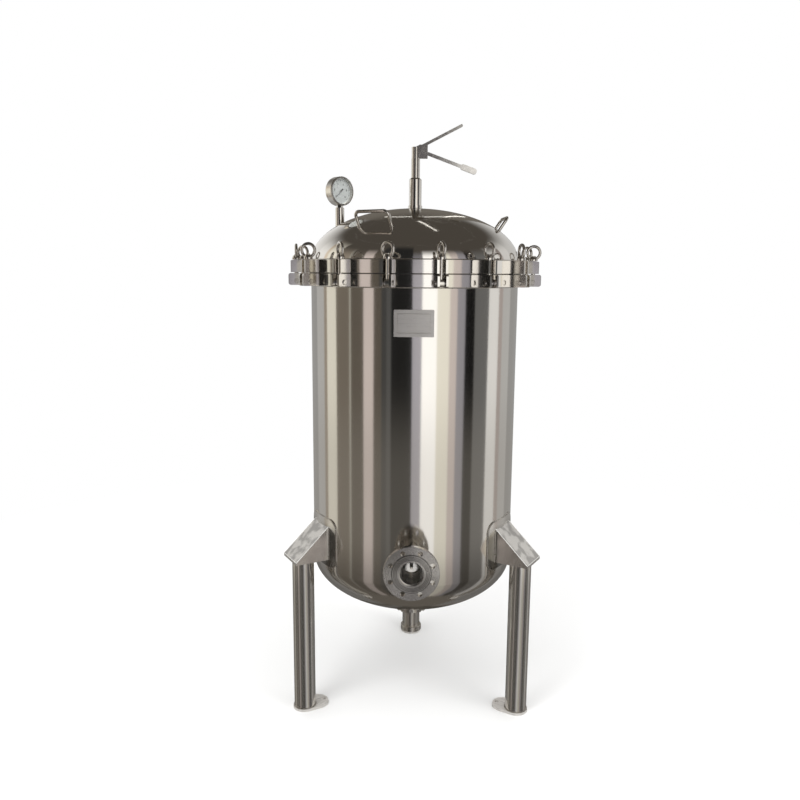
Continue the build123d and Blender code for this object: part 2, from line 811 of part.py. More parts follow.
# Pressure gauge on its socket; the plane looks out of the dial
gauge_centre = (socket_place[0], socket_place[1], socket_top + gauge_centre_above_socket)
facing = (cos(radians(gauge_facing)), sin(radians(gauge_facing)), 0)
gauge_plane = Plane(origin=gauge_centre, x_dir=(-facing[1], facing[0], 0), z_dir=facing)
case_front = gauge_case_depth / 2
dial_level = case_front - gauge_recess
with BuildPart() as gauge_case:
    with BuildSketch(gauge_plane.offset(-case_front)):
        Circle(gauge_case_radius)
    extrude(amount=gauge_case_depth)
    fillet(gauge_case.edges().filter_by(GeomType.CIRCLE), case_edge)
    with BuildSketch(Plane.XY.offset(socket_top)):
        with Locations(socket_place):
            RegularPolygon(gauge_hex / 2, hex_sides, major_radius=False)
    extrude(amount=gauge_centre_above_socket - gauge_case_radius + gauge_hex_sink)
    with BuildSketch(gauge_plane.offset(case_front)):
        Circle(gauge_case_radius - gauge_rim)
    extrude(amount=-gauge_recess, mode=Mode.SUBTRACT)
    with BuildSketch(gauge_plane.offset(dial_level)):
        Circle(spindle_radius)
    extrude(amount=pointer_above_dial + pointer_thickness * 2)
save(gauge_case.part, "gauge_case")

with BuildPart() as gauge_window:
    with BuildSketch(gauge_plane.offset(case_front - window_set_back)):
        Circle(gauge_case_radius - gauge_rim)
    extrude(amount=-window_thickness)
save(gauge_window.part, "gauge_window")

with BuildPart() as gauge_pointer:
    with BuildSketch(gauge_plane.offset(dial_level + pointer_above_dial)):
        Circle(pointer_hub_radius)
        with BuildLine():
            Polyline(
                Vector(pointer_length, 0).rotate(Axis.Z, pointer_rest_angle),
                Vector(0, pointer_width / 2).rotate(Axis.Z, pointer_rest_angle),
                Vector(-pointer_tail, pointer_width).rotate(Axis.Z, pointer_rest_angle),
                Vector(-pointer_tail, -pointer_width).rotate(Axis.Z, pointer_rest_angle),
                Vector(0, -pointer_width / 2).rotate(Axis.Z, pointer_rest_angle),
                close=True,
            )
        make_face()
        Circle(spindle_radius + pin_clearance, mode=Mode.SUBTRACT)
    extrude(amount=pointer_thickness)
save(gauge_pointer.part, "gauge_pointer")

# Vent riser: a stepped tube on a collar at the top of the dome
with BuildPart() as vent_riser:
    with BuildSketch(Plane.XZ):
        with BuildLine():
            Polyline(
                (vent_bore_radius, riser_base - shell_wall),
                (vent_collar_radius, riser_base - shell_wall),
                (vent_collar_radius, riser_base + vent_collar_height),
                (riser_radius, riser_base + vent_collar_height),
                (riser_radius, riser_base + riser_height - vent_reducer_height),
                (upper_riser_radius, riser_base + riser_height),
                (upper_riser_radius, valve_base),
                (vent_bore_radius, valve_base),
                close=True,
            )
        make_face()
    revolve(axis=Axis.Z)
    add(dome_bulk, mode=Mode.SUBTRACT)
save(vent_riser.part, "vent_riser")

# Vent valve: a body with a forked block at its side, which carries the fixed grip and the lever
lever_pivot = (lever_pivot_reach, valve_base + lever_pivot_rise)
pivot_plane = Plane(origin=(lever_pivot[0], 0, lever_pivot[1]), x_dir=(1, 0, 0), z_dir=(0, -1, 0))
block_bottom = valve_base + valve_block_drop
block_top = valve_base + valve_body_height + valve_block_top_rise


def arm_sketch(angle, start, end, width, rise=0):
    """A straight bar in the pivot's plane, at an angle about a point above the pivot."""
    middle = Vector((start + end) / 2, 0).rotate(Axis.Z, angle) + Vector(0, rise)
    with BuildSketch(pivot_plane) as bar:
        with Locations(Location(middle, (0, 0, angle))):
            RectangleRounded(end - start, width, width / 2 - arm_end_flat)
    return bar.sketch


slot_top = lever_pivot[1] + lever_hub_radius + slide_clearance
slot_side = lever_pivot[0] - lever_hub_radius - slide_clearance
slot_height = slot_top - block_bottom
with BuildPart() as vent_valve_body:
    with BuildSketch(Plane.XY.offset(valve_base)):
        Circle(valve_body_radius)
    extrude(amount=valve_body_height)
    with BuildSketch(Plane.XZ):
        with BuildLine():
            Polyline(
                (0, block_bottom),
                (valve_block_reach, block_bottom),
                (valve_block_reach, block_top),
                (valve_body_radius, block_top),
                (0, valve_base + valve_body_height),
                close=True,
            )
        make_face()
    extrude(amount=valve_block_width / 2, both=True)
    with BuildSketch(Plane.XY.offset(valve_base)):
        Circle(vent_bore_radius)
    extrude(amount=valve_body_height * 2, mode=Mode.SUBTRACT)
    with BuildSketch(Plane.XZ):
        with Locations((slot_side, slot_top)):
            Rectangle(valve_block_reach, slot_height * 2, align=(Align.MIN, Align.MAX))
    extrude(amount=lever_slot / 2, both=True, mode=Mode.SUBTRACT)
    with BuildSketch(pivot_plane):
        Circle(lever_pin_radius)
    extrude(amount=valve_block_width / 2, both=True)
    extrude(
        arm_sketch(grip_arm_angle, -grip_arm_root, grip_arm_length, grip_arm_width, grip_arm_rise),
        amount=lever_thickness / 2,
        both=True,
    )
save(vent_valve_body.part, "vent_valve_body")

with BuildPart() as vent_lever:
    with BuildSketch(pivot_plane):
        Circle(lever_hub_radius)
    extrude(amount=lever_thickness / 2, both=True)
    extrude(
        arm_sketch(lever_angle, 0, lever_length, lever_bar_width),
        amount=lever_thickness / 2,
        both=True,
    )
    grip_start = lever_length - lever_grip_length
    extrude(
        arm_sketch(lever_angle, grip_start, lever_length, lever_grip_width),
        amount=lever_grip_thickness / 2,
        both=True,
    )
    with BuildSketch(pivot_plane):
        Circle(lever_pin_radius + pin_clearance)
    extrude(amount=lever_thickness, both=True, mode=Mode.SUBTRACT)
save(vent_lever.part, "vent_lever")
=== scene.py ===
import json
import math

import bpy
from mathutils import Matrix, Vector


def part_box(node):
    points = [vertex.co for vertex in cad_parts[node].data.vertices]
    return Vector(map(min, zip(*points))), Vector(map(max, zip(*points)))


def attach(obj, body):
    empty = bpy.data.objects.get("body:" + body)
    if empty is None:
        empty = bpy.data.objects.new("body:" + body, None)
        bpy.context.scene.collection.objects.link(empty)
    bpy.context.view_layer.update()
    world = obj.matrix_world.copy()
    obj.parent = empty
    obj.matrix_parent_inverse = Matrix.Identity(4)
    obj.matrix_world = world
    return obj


# Looks of the filter housing, in metres: finishes for its solids, weld beads, the dial's scale, the
# nameplate's frame, and plain cards round it all for the polish to mirror.

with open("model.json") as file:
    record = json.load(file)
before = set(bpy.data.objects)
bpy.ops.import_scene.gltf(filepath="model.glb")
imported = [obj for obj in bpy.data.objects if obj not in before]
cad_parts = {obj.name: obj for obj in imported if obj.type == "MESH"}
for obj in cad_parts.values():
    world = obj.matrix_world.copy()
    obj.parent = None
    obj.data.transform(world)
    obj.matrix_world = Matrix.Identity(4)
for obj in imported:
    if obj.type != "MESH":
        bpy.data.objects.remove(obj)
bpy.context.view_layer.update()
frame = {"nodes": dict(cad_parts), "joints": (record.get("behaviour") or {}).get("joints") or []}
nodes = frame["nodes"]
joints = {joint["name"]: joint for joint in frame["joints"]}

# Heads and rings, read from the frame
head_skirt = 0.025           # straight part of the bottom head
dome_rise = 0.0435           # from the foot of the cover to where its ellipsoid starts
shell_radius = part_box("bottom_head")[1].x
tangent_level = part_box("shell")[0].z - head_skirt
joint_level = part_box("body_ring")[1].z
body_ring_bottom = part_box("body_ring")[0].z
ring_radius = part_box("body_ring")[1].x
cover_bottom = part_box("cover_ring")[0].z
cover_ring_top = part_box("cover_ring")[1].z
head_depth = shell_radius / 2
dome_base = cover_bottom + dome_rise
dome_top = dome_base + head_depth

# Inlet and outlet
inlet_low, inlet_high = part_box("inlet_nozzle")
inlet_height = (inlet_low.z + inlet_high.z) / 2
inlet_face = -inlet_low.y
inlet_pipe_radius = 0.04445
inlet_flange_thickness = 0.020
outlet_pad_radius = 0.087

# Closure, as in the solids
bolt_count = 16
ear_gap = 0.022
ear_thickness = 0.008
bolt_angles = [math.radians(-90 + 360 / bolt_count * (index + 0.5)) for index in range(bolt_count)]

# Legs, as in the solids
leg_angles = [math.radians(90 + 120 * index) for index in range(3)]
leg_circle = shell_radius + 0.081
leg_tube_radius = 0.042
foot_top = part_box("foot_plates")[1].z
pad_thickness = 0.005
pad_width = 0.21
pad_height = 0.19
pad_corner = 0.04
bracket_bottom = tangent_level + 0.043
bracket_height = 0.133
bracket_top = bracket_bottom + bracket_height
bracket_width = 0.127
bracket_overhang = 0.012
bracket_lip = 0.010

# Fittings on the dome, as in the solids
vent_collar_radius = 0.027
socket_radius = 0.0175
socket_circle = shell_radius - 0.111
handle_angles = [math.radians(-116 + 120 * index) for index in range(3)]
handle_circle = shell_radius - 0.083
handle_half_span = 0.066
handle_bar_radius = 0.006

# Camera, found from the rings, the flange and the feet in the photograph's 800 x 800 frame
image_size = 800
focal_pixels = 765
sensor_width = 36
eye = Vector((0, -3.061, 1.726))
camera_pitch = math.radians(-9.6)
camera_yaw = math.radians(1.0)
camera_roll = math.radians(0.42)


def put(name, data):
    """An object for a mesh, a text, a lamp or the camera, put into the scene."""
    thing = bpy.data.objects.new(name, data)
    bpy.context.scene.collection.objects.link(thing)
    return thing


def add_camera():
    data = bpy.data.cameras.new("camera")
    data.sensor_fit = "HORIZONTAL"
    data.sensor_width = sensor_width
    data.lens = focal_pixels * sensor_width / image_size
    data.clip_end = 200
    camera = put("camera", data)
    tilt = Matrix.Rotation(math.pi / 2 + camera_pitch, 4, "X")
    turn = Matrix.Rotation(camera_yaw, 4, "Z")
    roll = Matrix.Rotation(camera_roll, 4, "Z")
    camera.matrix_world = Matrix.Translation(eye) @ turn @ tilt @ roll
    bpy.context.scene.camera = camera


# Materials
noise_low = 0.3              # between these lie nearly all values of a noise
noise_high = 0.7
steel_colour = (0.80, 0.775, 0.735)
# Colour of painted shade, laid as dark rings in the corners and grooves of turned faces
grime_colour = (0.10, 0.095, 0.085)


def scaled(colour, level):
    return tuple(level * value for value in colour)


class Shader:
    """A material whose nodes are added and joined in few words."""

    def __init__(self, name):
        self.material = bpy.data.materials.new(name)
        self.material.use_nodes = True
        self.tree = self.material.node_tree
        self.surface = self.tree.nodes["Principled BSDF"]
        self.output = self.tree.nodes["Material Output"]

    def set(self, **values):
        for name, value in values.items():
            socket = name.replace("_", " ").title().replace("Ior", "IOR")
            self.surface.inputs[socket].default_value = value

    def add(self, kind, settings=None, output=0, **inputs):
        """A node with its settings and inputs, by name or by number as i0, i1 and so on."""
        node = self.tree.nodes.new("ShaderNode" + kind)
        for name, value in (settings or {}).items():
            setattr(node, name, value)
        for name, value in inputs.items():
            numbered = name[0] == "i" and name[1:].isdigit()
            socket = node.inputs[int(name[1:]) if numbered else name]
            if isinstance(value, bpy.types.NodeSocket):
                self.tree.links.new(value, socket)
            else:
                socket.default_value = value
        return node.outputs[output]

    def link(self, source, name):
        self.tree.links.new(source, self.surface.inputs[name])

    def place(self):
        return self.add("TexCoord", output="Object")

    def maths(self, operation, first, second=0.0):
        return self.add("Math", {"operation": operation}, i0=first, i1=second)

    def vector(self, operation, first, second=(0, 0, 0)):
        output = "Value" if operation in ("LENGTH", "DOT_PRODUCT") else "Vector"
        return self.add("VectorMath", {"operation": operation}, output, i0=first, i1=second)

    def blend(self, share, low, high):
        """A colour between two, by a share from 0 to 1. The first may be a socket."""
        start = low if isinstance(low, bpy.types.NodeSocket) else (*low, 1)
        return self.add("Mix", {"data_type": "RGBA"}, 2, Factor=share, i6=start, i7=(*high, 1))

    def between(self, source, from_low, from_high, to_low, to_high):
        """A number carried from one range to another, and held at its ends."""
        return self.add("MapRange", i0=source, i1=from_low, i2=from_high, i3=to_low, i4=to_high)

    def spread(self, noise, low, high):
        """A noise's values carried to a range."""
        return self.between(noise, noise_low, noise_high, low, high)

    def round_place(self, across, along):
        """Texture space that runs round the upright axis, with its scales round it and along it."""
        place = self.place()
        outward = self.vector("NORMALIZE", self.vector("MULTIPLY", place, (1, 1, 0)))
        wide = self.vector("MULTIPLY", outward, (across,) * 3)
        tall = self.vector("MULTIPLY", place, (0, 0, along))
        return self.vector("ADD", wide, tall)

    def axis_distance(self, axis="Z", centre=(0, 0, 0)):
        """Distance from an upright axis, or from one that runs from front to back."""
        place = self.vector("SUBTRACT", self.place(), centre)
        flat = (1, 1, 0) if axis == "Z" else (1, 0, 1)
        return self.vector("LENGTH", self.vector("MULTIPLY", place, flat))

    def noise(self, place, scale=1.0, detail=2.0, rough=0.5):
        return self.add("TexNoise", Vector=place, Scale=scale, Detail=detail, Roughness=rough)

    def bump(self, height, distance, strength=1.0, **under):
        """A bump, on top of another one that is given as Normal."""
        return self.add("Bump", Height=height, Distance=distance, Strength=strength, **under)


def brushed_round(shade, axis, stretch):
    """Highlights drawn out across the marks of a tool that went round an axis."""
    shade.set(anisotropic=stretch, anisotropic_rotation=0.25)
    shade.link(shade.add("Tangent", {"direction_type": "RADIAL", "axis": axis}), "Tangent")


def polished_steel(name, roughness, stretch, waves, haze=0.0):
    """Mirror-polished sheet: fine marks left by a buffing wheel that went round the vessel."""
    shade = Shader(name)
    shade.set(base_color=(*steel_colour, 1), metallic=1 - haze, roughness=roughness)
    brushed_round(shade, "Z", stretch)
    marks = shade.noise(shade.round_place(across=5, along=420), detail=3)
    streaks = shade.noise(shade.round_place(across=60, along=0.8))
    worn = shade.maths("ADD", shade.maths("MULTIPLY", marks, 0.5), shade.maths("MULTIPLY", streaks, 0.5))
    shade.link(shade.between(worn, 0.35, 0.65, roughness * 0.85, roughness * 1.15), "Roughness")
    tone = shade.noise(shade.place(), scale=3)
    shade.link(shade.blend(tone, scaled(steel_colour, 0.97), scaled(steel_colour, 1.03)), "Base Color")
    swell = shade.noise(shade.round_place(across=2.6, along=0.9), detail=1)
    rolled = shade.bump(swell, distance=waves)
    shade.link(shade.bump(marks, distance=0.00001, strength=0.5, Normal=rolled), "Normal")
    return shade.material


def turned_steel(name, axis, centre=(0, 0, 0), groove_pitch=0.0012, groove_depth=0.0001, roughness=0.3,
                 tone=1.0, stretch=0.5, haze=0.0, corners=()):
    """Lathe-turned steel: fine rings round its axis, and painted shade as dark rings in the corners of its
    steps and in its grooves.
    """
    shade = Shader(name)
    colour = scaled(steel_colour, tone)
    shade.set(base_color=(*colour, 1), metallic=1 - haze, roughness=roughness)
    brushed_round(shade, axis, stretch)
    distance = shade.axis_distance(axis, centre)
    patch = shade.noise(shade.place(), scale=18, detail=3)
    shade.link(shade.spread(patch, roughness * 0.75, roughness * 1.3), "Roughness")
    cloud = shade.noise(shade.place(), scale=40, detail=3)
    finish = shade.blend(cloud, scaled(colour, 0.9), scaled(colour, 1.02))
    # Painted shade: a dark ring at each given radius
    for radius, half_width, share in corners:
        off = shade.maths("ABSOLUTE", shade.maths("SUBTRACT", distance, radius))
        finish = shade.blend(shade.between(off, half_width / 2, half_width, share, 0), finish, grime_colour)
    shade.link(finish, "Base Color")
    wave = shade.maths("SINE", shade.maths("MULTIPLY", distance, 2 * math.pi / groove_pitch))
    rings = shade.bump(wave, distance=groove_depth, strength=0.6)
    shade.link(shade.bump(patch, distance=0.00003, strength=0.5, Normal=rings), "Normal")
    return shade.material


def cast_steel(name):
    """Investment-cast steel, tumbled until it shines."""
    roughness = 0.16
    shade = Shader(name)
    shade.set(base_color=(*steel_colour, 1), metallic=1, roughness=roughness)
    grains = shade.noise(shade.place(), scale=90, detail=3)
    shade.link(shade.spread(grains, roughness * 0.6, roughness * 1.5), "Roughness")
    shade.link(shade.blend(grains, scaled(steel_colour, 0.92), scaled(steel_colour, 1.04)), "Base Color")
    shade.link(shade.bump(grains, distance=0.00012, strength=0.6), "Normal")
    return shade.material


def bracket_steel(name):
    """Fabricated plate: a clouded slope, cheeks with a little haze, and a mirror-like pad."""
    slope_haze, cheek_haze = 0.2, 0.03
    cloud_tone, shadow_tone, shadow_share = 0.62, 0.25, 0.8
    shade = Shader(name)
    shade.set(base_color=(*steel_colour, 1), metallic=1, roughness=0.16)
    clouds = shade.noise(shade.place(), scale=28, rough=0.45)
    facing_up = shade.add("SeparateXYZ", output="Z", i0=shade.add("NewGeometry", output="Normal"))
    slope = shade.between(facing_up, 0.3, 0.5, 0, 1)
    pad_face = shell_radius + pad_thickness
    off_pad = shade.between(shade.axis_distance(), pad_face, pad_face + 0.001, 0, 1)
    plate_haze = shade.maths("ADD", shade.maths("MULTIPLY", slope, slope_haze), cheek_haze)
    haze = shade.maths("MULTIPLY", off_pad, plate_haze)
    shade.link(shade.maths("SUBTRACT", 1.0, haze), "Metallic")
    shade.link(shade.spread(clouds, 0.12, 0.24), "Roughness")
    steel = shade.blend(clouds, scaled(steel_colour, 0.97), scaled(steel_colour, 1.06))
    patchy = shade.maths("MULTIPLY", shade.between(clouds, 0.40, 0.56, 1, 0), slope)
    steel = shade.blend(patchy, steel, scaled(steel_colour, cloud_tone))
    level = shade.add("SeparateXYZ", output="Z", i0=shade.place())
    below = shade.between(level, bracket_top - 0.03, bracket_top + 0.01, shadow_share, 0)
    shadow = shade.maths("MULTIPLY", below, shade.maths("SUBTRACT", 1.0, off_pad))
    shade.link(shade.blend(shadow, steel, scaled(steel_colour, shadow_tone)), "Base Color")
    shade.link(shade.bump(clouds, distance=0.0004, strength=0.5), "Normal")
    return shade.material


def edge_steel(name):
    """Rounded corner, brighter than the plates it joins: a painted highlight."""
    shade = Shader(name)
    shade.set(base_color=(0.93, 0.92, 0.89, 1), metallic=0.4, roughness=0.3)
    shade.link(shade.spread(shade.noise(shade.place(), scale=60), 0.2, 0.4), "Roughness")
    return shade.material


def weld_steel(name):
    """Weld metal left as it set, pickled to a dull grey."""
    shade = Shader(name)
    shade.set(base_color=(0.62, 0.6, 0.57, 1), metallic=1, roughness=0.32)
    grains = shade.noise(shade.place(), scale=160, detail=3)
    shade.link(shade.spread(grains, 0.22, 0.45), "Roughness")
    tint = shade.noise(shade.place(), scale=14)
    shade.link(shade.blend(tint, (0.52, 0.50, 0.48), (0.72, 0.69, 0.63)), "Base Color")
    shade.link(shade.bump(grains, distance=0.0001, strength=0.5), "Normal")
    return shade.material


def plate_steel(name):
    """Satin sheet, brushed along its width."""
    shade = Shader(name)
    shade.set(base_color=(0.72, 0.7, 0.67, 1), metallic=1, roughness=0.3, anisotropic=0.6)
    stretched = shade.vector("MULTIPLY", shade.place(), (14, 14, 1500))
    lines = shade.noise(stretched, detail=4, rough=0.7)
    shade.link(shade.spread(lines, 0.24, 0.42), "Roughness")
    cloud = shade.noise(shade.place(), scale=22)
    shade.link(shade.blend(cloud, (0.66, 0.64, 0.61), (0.78, 0.76, 0.73)), "Base Color")
    shade.link(shade.bump(lines, distance=0.00003, strength=0.6), "Normal")
    return shade.material


def gasket_rubber(name):
    shade = Shader(name)
    shade.set(base_color=(0.02, 0.02, 0.02, 1), roughness=0.7)
    grains = shade.noise(shade.place(), scale=300)
    shade.link(shade.blend(grains, (0.014, 0.014, 0.014), (0.03, 0.03, 0.031)), "Base Color")
    shade.link(shade.spread(grains, 0.55, 0.8), "Roughness")
    shade.link(shade.bump(grains, distance=0.0001, strength=0.4), "Normal")
    return shade.material


def wound_media(name):
    """White yarn wound to a lattice round each cartridge."""
    around, along = 90, 160
    shade = Shader(name)
    shade.set(base_color=(0.86, 0.85, 0.81, 1), roughness=0.85)
    climb = shade.vector("DOT_PRODUCT", shade.place(), (around, around, along))
    fall = shade.vector("DOT_PRODUCT", shade.place(), (around, around, -along))
    yarn = shade.maths("MULTIPLY", shade.maths("SINE", climb), shade.maths("SINE", fall))
    # Painted shade: the low parts of the yarn's lattice are coloured darker than the raised strands
    raised = shade.between(yarn, -1, 1, 0, 1)
    shade.link(shade.blend(raised, (0.70, 0.69, 0.65), (0.90, 0.89, 0.86)), "Base Color")
    coarse = shade.bump(yarn, distance=0.0012, strength=0.8)
    fluff = shade.noise(shade.place(), scale=400, detail=3)
    shade.link(shade.bump(fluff, distance=0.0003, strength=0.5, Normal=coarse), "Normal")
    return shade.material


def clear_glass(name):
    shade = Shader(name)
    shade.set(base_color=(0.97, 0.99, 0.985, 1), roughness=0.02, ior=1.45, transmission_weight=1)
    smudge = shade.noise(shade.place(), scale=30, detail=3)
    shade.link(shade.between(smudge, 0.35, 0.75, 0.01, 0.05), "Roughness")
    return shade.material


def dial_enamel(name):
    shade = Shader(name)
    shade.set(base_color=(0.88, 0.88, 0.86, 1), roughness=0.45)
    cloud = shade.noise(shade.place(), scale=60, detail=3)
    shade.link(shade.blend(cloud, (0.85, 0.85, 0.83), (0.9, 0.9, 0.89)), "Base Color")
    return shade.material


def black_paint(name):
    shade = Shader(name)
    shade.set(base_color=(0.02, 0.02, 0.02, 1), roughness=0.4)
    grains = shade.noise(shade.place(), scale=250)
    shade.link(shade.spread(grains, 0.35, 0.5), "Roughness")
    shade.link(shade.blend(grains, (0.016, 0.016, 0.017), (0.028, 0.028, 0.028)), "Base Color")
    return shade.material


# Radius, half width and strength of the dark rings painted on the inlet's face as painted shade: at the foot
# of the raised face, and in the grooves turned in it
face_corners = (
    (0.0695, 0.0024, 0.75), (0.063, 0.0022, 0.6), (0.058, 0.0022, 0.6), (0.053, 0.0022, 0.6),
)
shell_steel = polished_steel("shell_steel", roughness=0.13, stretch=0.7, waves=0.0006)
dome_steel = polished_steel("dome_steel", roughness=0.09, stretch=0.3, waves=0.0012)
ring_steel = polished_steel("ring_steel", roughness=0.13, stretch=0.6, waves=0.0002)
bar_steel = polished_steel("bar_steel", roughness=0.12, stretch=0.2, waves=0.0001)
leg_steel = polished_steel("leg_steel", roughness=0.12, stretch=0.4, waves=0.0001, haze=0.04)
foot_steel = polished_steel("foot_steel", roughness=0.3, stretch=0.1, waves=0.0001, haze=0.6)
plain_steel = bracket_steel("bracket_steel")
inlet_steel = turned_steel("inlet_steel", "Y", (0, 0, inlet_height), groove_depth=0.00005, roughness=0.24,
                           tone=0.85, stretch=0.85, corners=face_corners)
outlet_steel = turned_steel("outlet_steel", "Z")
sheet_steel = turned_steel("sheet_steel", "Z", groove_pitch=0.003, haze=0.4)
cast = cast_steel("cast_steel")
weld = weld_steel("weld_steel")
bright_edge = edge_steel("edge_steel")
satin = plate_steel("plate_steel")
rubber = gasket_rubber("gasket_rubber")
media = wound_media("filter_media")
glass = clear_glass("window_glass")
enamel = dial_enamel("dial_enamel")
black = black_paint("pointer_black")

# Finish of each node; the swing bolts and their nuts, which aren't listed, are cast
finishes = {
    "shell": shell_steel, "bottom_head": shell_steel, "body_ring": ring_steel, "body_lugs": ring_steel,
    "lug_pins": cast, "leg_tubes": leg_steel, "leg_brackets": plain_steel, "foot_plates": foot_steel,
    "inlet_nozzle": inlet_steel, "outlet_nozzle": outlet_steel, "outlet_union_nut": outlet_steel,
    "outlet_adapter": outlet_steel, "nameplate": satin, "tube_sheet": sheet_steel,
    "filter_cartridges": media, "hold_down_plate": sheet_steel, "tie_rods": cast, "cover_gasket": rubber,
    "cover_dome": dome_steel, "cover_ring": ring_steel, "cover_forks": ring_steel,
    "cover_handles": bar_steel, "gauge_case": cast, "gauge_window": glass, "gauge_pointer": black,
    "vent_riser": bar_steel, "vent_valve_body": cast, "vent_lever": cast,
}
for node, piece in nodes.items():
    for slot in piece.material_slots:
        slot.material = finishes.get(node, cast)


# Pieces added to the solids
def turns(count):
    """Angles at even steps round a circle."""
    return [2 * math.pi * index / count for index in range(count)]


def polar(radius, angle, level):
    return Vector((radius * math.cos(angle), radius * math.sin(angle), level))


def circle(radius, level, centre=(0, 0), count=96):
    return [Vector((*centre, 0)) + polar(radius, turn, level) for turn in turns(count)]


def turned_to(angle):
    return Matrix.Rotation(angle, 3, "Z")


def reach_at(radius, across):
    """How far out a round wall lies, at a distance to the side of its middle."""
    return math.sqrt(radius**2 - across**2)


def dome_level(radius):
    return dome_base + head_depth * math.sqrt(1 - (radius / shell_radius) ** 2)


def head_level(radius):
    return tangent_level - head_depth * math.sqrt(1 - (radius / shell_radius) ** 2)


def band(count, first=0):
    """Faces from a closed row of points to the next row, which follows it in the list."""
    after = [(index + 1) % count for index in range(count)]
    return [
        (first + here, first + there, first + count + there, first + count + here)
        for here, there in enumerate(after)
    ]


def new_mesh(name, points, faces, material):
    mesh = bpy.data.meshes.new(name)
    mesh.from_pydata(points, [], faces)
    mesh.materials.append(material)
    return mesh


def mesh_piece(name, points, faces, material, body, smooth=True):
    mesh = new_mesh(name, points, faces, material)
    mesh.update()
    for polygon in mesh.polygons:
        polygon.use_smooth = smooth
    piece = put(name, mesh)
    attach(piece, body)


def spaced(path, step, closed):
    """Points at an even step along a path, and their distances along it."""
    corners = path + [path[0]] if closed else path
    lengths = [0.0]
    for start, end in zip(corners, corners[1:]):
        lengths.append(lengths[-1] + (end - start).length)
    count = max(3, round(lengths[-1] / step))
    points, marks, leg = [], [], 0
    for index in range(count if closed else count + 1):
        mark = lengths[-1] * index / count
        while leg < len(lengths) - 2 and lengths[leg + 1] < mark:
            leg += 1
        share = (mark - lengths[leg]) / max(lengths[leg + 1] - lengths[leg], 1e-9)
        points.append(corners[leg].lerp(corners[leg + 1], share))
        marks.append(mark)
    return points, marks


weld_pitch = 0.003           # from one ripple of a weld to the next
ripple_depth = 0.14          # share of the bead's radius
bead_sides = 8
stand_off = 0.0005           # from the corner that a bead fills to the middle of the bead
fine_stand_off = 0.0003


def bead_mesh(path, radius, closed, rippled):
    """A weld bead: a round section along a path, scalloped as the pool moved on."""
    step = weld_pitch / 4 if rippled else weld_pitch * 2
    points, marks = spaced(path, step, closed)
    count = len(points)
    vertices, side = [], None
    for index, (point, mark) in enumerate(zip(points, marks)):
        after = points[(index + 1) % count] if closed or index < count - 1 else point
        before = points[index - 1] if closed or index else point
        ahead = (after - before).normalized()
        if side is None:
            side = ahead.orthogonal().normalized()
        side = (side - side.dot(ahead) * ahead).normalized()
        other = ahead.cross(side)
        scallop = abs(math.sin(math.pi * mark / weld_pitch)) if rippled else 1
        width = radius * (1 - ripple_depth + ripple_depth * scallop)
        for turn in turns(bead_sides):
            vertices.append(point + width * (math.cos(turn) * side + math.sin(turn) * other))
    faces = []
    for index in range(count if closed else count - 1):
        here, there = index * bead_sides, (index + 1) % count * bead_sides
        for corner in range(bead_sides):
            turned = (corner + 1) % bead_sides
            faces.append((here + corner, here + turned, there + turned, there + corner))
    if not closed:
        faces.append(tuple(reversed(range(bead_sides))))
        faces.append(tuple((count - 1) * bead_sides + corner for corner in range(bead_sides)))
    return vertices, faces


def beads(name, paths, radius, body, closed=True, rippled=True, material=weld):
    """One piece with a bead along each path."""
    points, faces = [], []
    for path in paths:
        new_points, new_faces = bead_mesh(path, radius, closed, rippled)
        base = len(points)
        points += new_points
        faces += [tuple(base + corner for corner in face) for face in new_faces]
    mesh_piece(name, points, faces, material, body)


def inlet_weld():
    """Where the inlet pipe meets the shell."""
    radius = inlet_pipe_radius + 2 * stand_off
    path = []
    for turn in turns(96):
        across = radius * math.cos(turn)
        depth = -reach_at(shell_radius, across) - stand_off
        path.append(Vector((across, depth, inlet_height + radius * math.sin(turn))))
    beads("inlet_weld", [path], 0.0035, "vessel")


def flange_weld():
    """Where the inlet flange is welded to its pipe, at the back."""
    depth = inlet_flange_thickness - inlet_face
    path = [
        Vector((inlet_pipe_radius * math.cos(turn), depth, inlet_height + inlet_pipe_radius * math.sin(turn)))
        for turn in turns(96)
    ]
    beads("flange_weld", [path], 0.0035, "vessel")


def ring_welds():
    """Ground seams between the rings and what they are welded to."""
    under = circle(shell_radius + stand_off, body_ring_bottom - stand_off, count=180)
    beads("body_ring_weld", [under], 0.0028, "vessel", rippled=False)
    over = circle(shell_radius - stand_off, cover_ring_top + stand_off, count=180)
    beads("cover_ring_weld", [over], 0.0022, "cover", rippled=False)


def ear_welds():
    """Both faces of every ear, where it stands on its ring."""
    margin = 0.003
    for name, low, high, body in (
        ("lug_welds", body_ring_bottom + margin, joint_level - margin, "vessel"),
        ("fork_welds", cover_bottom + margin, cover_ring_top - margin, "cover"),
    ):
        paths = []
        for angle in bolt_angles:
            for side in (-1, 1):
                for across in (ear_gap / 2, ear_gap / 2 + ear_thickness):
                    spot = polar(reach_at(ring_radius, across), angle, 0)
                    spot += Vector((-math.sin(angle), math.cos(angle), 0)) * side * across
                    paths.append([spot + Vector((0, 0, low)), spot + Vector((0, 0, high))])
        beads(name, paths, 0.0016, body, closed=False)


def pad_outline(angle):
    """The rounded edge of a leg's pad, wrapped round the shell."""
    steps = 8
    edge_radius = shell_radius + 0.0015
    half_width, half_height = pad_width / 2, pad_height / 2
    middle = bracket_bottom + bracket_height / 2
    path = []
    for quarter in range(4):
        sign_x = 1 if quarter in (0, 3) else -1
        sign_z = 1 if quarter in (0, 1) else -1
        for step in range(steps + 1):
            turn = math.pi / 2 * (quarter + step / steps)
            across = sign_x * (half_width - pad_corner) + pad_corner * math.cos(turn)
            level = middle + sign_z * (half_height - pad_corner) + pad_corner * math.sin(turn)
            path.append(turned_to(angle) @ Vector((reach_at(edge_radius, across), across, level)))
    return path


def pad_welds():
    beads("pad_welds", [pad_outline(angle) for angle in leg_angles], 0.0032, "vessel")


